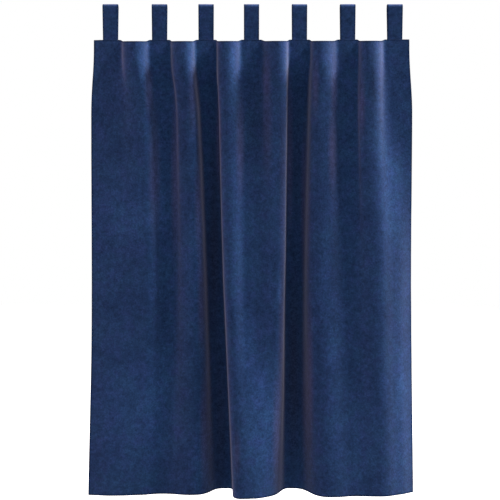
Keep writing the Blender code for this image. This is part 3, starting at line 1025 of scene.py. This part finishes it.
LAYER_GAP = 0.1             # air between the two sides of a loop where they are sewn
LEG_STEP, ARC_STEP = 3.5, 2.0   # distance between rows, up a loop's legs and over its top
TAIL_ROWS = 8               # rows in the sewn tail
STRAP_COLUMNS = 23          # points across each face of a strap
STRAP_ROUND = 1.0           # radius of a strap's folded edges
ROUND_POINTS = 4            # points round one of them
STRAP_EDGE = EDGE_DARK - 1.0    # how far in from them the velvet is darker
CROWN_SHARE = 0.6           # the crown's height in the middle, as a share of its full swell
STRAP_SEAM = 1.6            # half width of the seam down a strap's inside
FULL_ABOVE_SEAM = 18.0      # a strap has its whole crown this far above its sewn end
STRAP_WAVER = 0.35          # how far its faces waver
STRAP_PATCH = (24.0, 9.0)   # reach of that: across, and in rows along
STRAP_SEED = 3.7            # how far apart in the noise two straps lie


def strap_line():
    """The middle of the strap seen from its side, as (y, z) and its outward normals.

    It runs up the back of the tail, over the rod and down the front.
    """
    seam_z = EDGE_Z + SEAM_ABOVE_EDGE
    inner = LOOP_TOP - STRAP
    radius = inner + STRAP / 2
    lean = math.asin(inner / -seam_z)
    turns = np.linspace(-lean, math.pi + lean, int(radius * math.pi / ARC_STEP) + 1)
    arc = radius * np.column_stack((np.cos(turns), np.sin(turns)))
    apart = (STRAP + LAYER_GAP) / 2
    leg = np.linspace(0.0, 1.0, int(-seam_z / LEG_STEP))[:, None]
    rise = np.array((apart, seam_z)) + leg[:-1] * (arc[0] - np.array((apart, seam_z)))
    tail = np.column_stack((np.full(TAIL_ROWS, apart),
                            np.linspace(TAIL_Z, seam_z, TAIL_ROWS + 1)[:-1]))
    going_up = np.vstack((tail, rise))
    line = np.vstack((going_up, arc, going_up[::-1] * (-1, 1)))
    inside = line.copy()
    inside[1:-1] = (line[:-2] + 2 * line[1:-1] + line[2:]) / 4
    along = unit(np.gradient(inside, axis=0))
    return inside, np.column_stack((along[:, 1], -along[:, 0]))


def strap_profile(tabs):
    """The strap's cross-section: (across, outer or inner side, share of the crown)."""
    half = TAB_WIDTH / 2
    flat = half - STRAP_ROUND
    across = np.linspace(-flat, flat, STRAP_COLUMNS)
    groove = tabs.seam_groove / MM
    swell = CROWN_SHARE + (1 - CROWN_SHARE) * np.abs(across / flat)
    crown = tabs.crown / MM * (1 - (across / flat) ** 2) * swell
    level = (STRAP - LAYER_GAP) / 2
    outer = np.column_stack((across, np.full_like(across, level), crown))
    seam = groove * np.exp(-(across / STRAP_SEAM) ** 2)
    inner = np.column_stack((across, -level + seam, -crown))[::-1]
    turn = np.linspace(0.0, math.pi, ROUND_POINTS + 2)[1:-1]
    right = np.column_stack((flat + STRAP_ROUND * np.sin(turn), level * np.cos(turn),
                             np.zeros_like(turn)))
    left = right[::-1] * (-1, 1, 1)
    return np.vstack((outer, right, inner, left))


def build_tab(number, tabs):
    """One strap of doubled velvet, folded over the rod, with its tail between the layers."""
    centre = TAB_CENTRES[number]
    line, normal = strap_line()
    profile = strap_profile(tabs)
    sewn_end = EDGE_Z + SEAM_ABOVE_EDGE
    free = smooth_step(sewn_end, sewn_end + FULL_ABOVE_SEAM, line[:, 1])
    rings = []
    for k in range(len(line)):
        offset = profile[:, 1] + profile[:, 2] * free[k]
        waver = [STRAP_WAVER * free[k] * noise.noise(Vector((
            across / STRAP_PATCH[0], k / STRAP_PATCH[1], number * STRAP_SEED)))
            for across in profile[:, 0]]
        place = line[k] + np.outer(offset + np.array(waver), normal[k])
        rings.append(np.column_stack((centre + profile[:, 0], place)))
    points = np.vstack(rings)
    size, count = len(profile), len(rings)
    faces = []
    for k in range(count - 1):
        for j in range(size):
            a, b = k * size + j, k * size + (j + 1) % size
            faces.append((a, a + size, b + size, b))
    faces.append(tuple(range(size)))
    faces.append(tuple((count - 1) * size + j for j in range(size))[::-1])
    pile = finish_named("cotton_velvet_strap_navy", cut_pile_velvet)
    folded = finish_named("cotton_velvet_folded_edge_navy", darker_edge_pile)
    along = lengths_along(line)
    to_edge = TAB_WIDTH / 2 - np.abs(profile[:, 0])
    on_edge = np.maximum(to_edge, np.roll(to_edge, -1)) < STRAP_EDGE
    material_of = np.append(np.tile(on_edge, count - 1), (True, True)).astype(np.int32)
    strap = link_mesh(f"tab_strap_{number + 1}", points, faces, [pile, folded], material_of)
    across, up = np.meshgrid(profile[:, 0], along)
    mark_cloth(strap, np.stack((across, up, TAB_WIDTH / 2 - np.abs(across)), -1).reshape(-1, 3))
    return strap, along[-1]


class CURTAIN_OT_tabs(bpy.types.Operator):
    """Loop the seven velvet straps over the rod's line"""
    bl_idname = "curtain.tabs"
    bl_label = "Loop the Tabs"

    def execute(self, context):
        for number, node in enumerate(TAB_NODES):
            strap, length = build_tab(number, context.scene.tab_sizes)
            on_frame(strap, [node])
        return {"FINISHED"}


# ---------------------------------------------------------------- studio

FLOOR_HALF = 14.0           # metres from the middle of the floor to its edges
FLOOR_GLOW = 0.55           # what the paper gives out, so that it runs into the white
CAMERA_X, CAMERA_Z = -5.35, LOOP_TOP - 877.0    # near the middle of the curtain
FOCAL_WIDTHS = 1.569        # focal length, in widths of the sensor
SENSOR = 36.0
LIGHT_DISTANCE = 6.0        # metres
# Azimuth and height in degrees, size in metres, power as a share of the side light's, colour
LIGHTS = (
    ("side_light", 86.0, 54.0, 1.2, 1.0, "#ffffff"),
    ("warm_far_side_fill", -80.0, 12.0, 2.0, 0.22, "#ffb5b2"),
)


def from_compass(azimuth, height):
    """The direction towards a light, its azimuth measured from the camera to the right."""
    a, e = math.radians(azimuth), math.radians(height)
    return Vector((math.sin(a) * math.cos(e), -math.cos(a) * math.cos(e), math.sin(e)))


def add_area_light(name, place, aim, size, power, colour):
    """A large soft light at a place in metres, facing a point."""
    select_nothing()
    bpy.ops.object.light_add(type="AREA", location=place)
    lamp = bpy.context.active_object
    lamp.name = name
    lamp.rotation_euler = (Vector(aim) - Vector(place)).to_track_quat("-Z", "Y").to_euler()
    lamp.data.shape = "SQUARE"
    lamp.data.size = size
    lamp.data.energy = power
    lamp.data.color = linear(colour)


def build_floor(studio):
    """Pale seamless paper, bright enough to run into the white behind it."""
    select_nothing()
    level = HEM_Z * MM - studio.floor_drop
    bpy.ops.mesh.primitive_plane_add(size=2 * FLOOR_HALF, location=(0, 0, level))
    floor = bpy.context.active_object
    floor.name = "studio_floor"
    material, _, shader = new_material("seamless_paper_white")
    shader.inputs["Base Color"].default_value = (*studio.paper, 1.0)
    shader.inputs["Roughness"].default_value = 0.9
    shader.inputs["Emission Color"].default_value = (1.0, 1.0, 1.0, 1.0)
    shader.inputs["Emission Strength"].default_value = FLOOR_GLOW
    floor.data.materials.append(material)
    floor.visible_diffuse = False
    floor.visible_glossy = False


def build_surround(studio):
    """White where the camera looks past the curtain, and a soft even light on the cloth."""
    world = bpy.data.worlds.new("studio_surround")
    bpy.context.scene.world = world
    world.use_nodes = True
    tree = world.node_tree
    tree.nodes.clear()
    soft = add_node(tree, "Background", (
        ("Color", (*studio.surround, 1.0)), ("Strength", studio.surround_strength)))
    white = add_node(tree, "Background", (("Color", (1.0, 1.0, 1.0, 1.0)), ("Strength", 1.0)))
    path = add_node(tree, "LightPath")
    either = add_node(tree, "MixShader", (
        (0, path.outputs["Is Camera Ray"]), (1, soft.outputs[0]), (2, white.outputs[0])))
    add_node(tree, "OutputWorld", (("Surface", either.outputs[0]),))


def build_camera(studio):
    """Straight in front of the curtain, at the height of its middle."""
    select_nothing()
    place = (CAMERA_X * MM, -studio.camera_distance, CAMERA_Z * MM)
    bpy.ops.object.camera_add(location=place, rotation=(math.pi / 2, 0, 0))
    camera = bpy.context.active_object
    camera.name = "studio_camera"
    camera.data.sensor_width = SENSOR
    camera.data.lens = SENSOR * FOCAL_WIDTHS
    camera.data.clip_end = 4 * FLOOR_HALF
    bpy.context.scene.camera = camera


class CURTAIN_OT_studio(bpy.types.Operator):
    """Set up the pale floor, the soft lights and the camera"""
    bl_idname = "curtain.studio"
    bl_label = "Set Up the Studio"

    def execute(self, context):
        studio = context.scene.studio_look
        middle = (0, 0, CAMERA_Z * MM)
        build_floor(studio)
        build_surround(studio)
        for name, azimuth, height, size, share, colour in LIGHTS:
            place = Vector(middle) + from_compass(azimuth, height) * LIGHT_DISTANCE
            add_area_light(name, place, middle, size, studio.key_power * share, colour)
        build_camera(studio)
        context.scene.view_settings.view_transform = "Standard"
        return {"FINISHED"}


# ---------------------------------------------------------------- sidebar

STEPS = ("curtain.tabs", "curtain.panel", "curtain.heading", "curtain.studio")
SETTINGS = (
    ("cloth_sizes", ClothSizes, "Cloth"),
    ("tab_sizes", TabSizes, "Tabs"),
    ("stitch_sizes", StitchSizes, "Stitches"),
    ("velvet_colours", VelvetColours, "Colours"),
    ("studio_look", StudioLook, "Studio"),
)


class CURTAIN_PT_sidebar(bpy.types.Panel):
    """The steps of making the curtain, with their settings"""
    bl_idname = "CURTAIN_PT_sidebar"
    bl_label = "Velvet Curtain"
    bl_space_type = "VIEW_3D"
    bl_region_type = "UI"
    bl_category = "Curtain"

    def draw(self, context):
        layout = self.layout
        for step in STEPS:
            layout.operator(step)
        for attribute, group, title in SETTINGS:
            box = layout.box()
            box.label(text=title)
            for name in group.__annotations__:
                box.prop(getattr(context.scene, attribute), name)


OPERATORS = (CURTAIN_OT_tabs, CURTAIN_OT_panel, CURTAIN_OT_heading, CURTAIN_OT_studio)


def register():
    """Adds the settings, the steps and the sidebar to Blender."""
    for attribute, group, _ in SETTINGS:
        bpy.utils.register_class(group)
        setattr(bpy.types.Scene, attribute, bpy.props.PointerProperty(type=group))
    for made in (*OPERATORS, CURTAIN_PT_sidebar):
        bpy.utils.register_class(made)


def unregister():
    """Takes them all away again."""
    for made in (CURTAIN_PT_sidebar, *reversed(OPERATORS)):
        bpy.utils.unregister_class(made)
    for attribute, group, _ in reversed(SETTINGS):
        delattr(bpy.types.Scene, attribute)
        bpy.utils.unregister_class(group)


def run_step(idname):
    """Calls one operator, and stops with an error if it didn't finish."""
    group, name = idname.split(".")
    if getattr(getattr(bpy.ops, group), name)() != {"FINISHED"}:
        raise RuntimeError(f"{idname} did not finish")


def main():
    """Makes the whole curtain."""
    register()
    for step in STEPS:
        run_step(step)


if __name__ == "__main__":
    main()
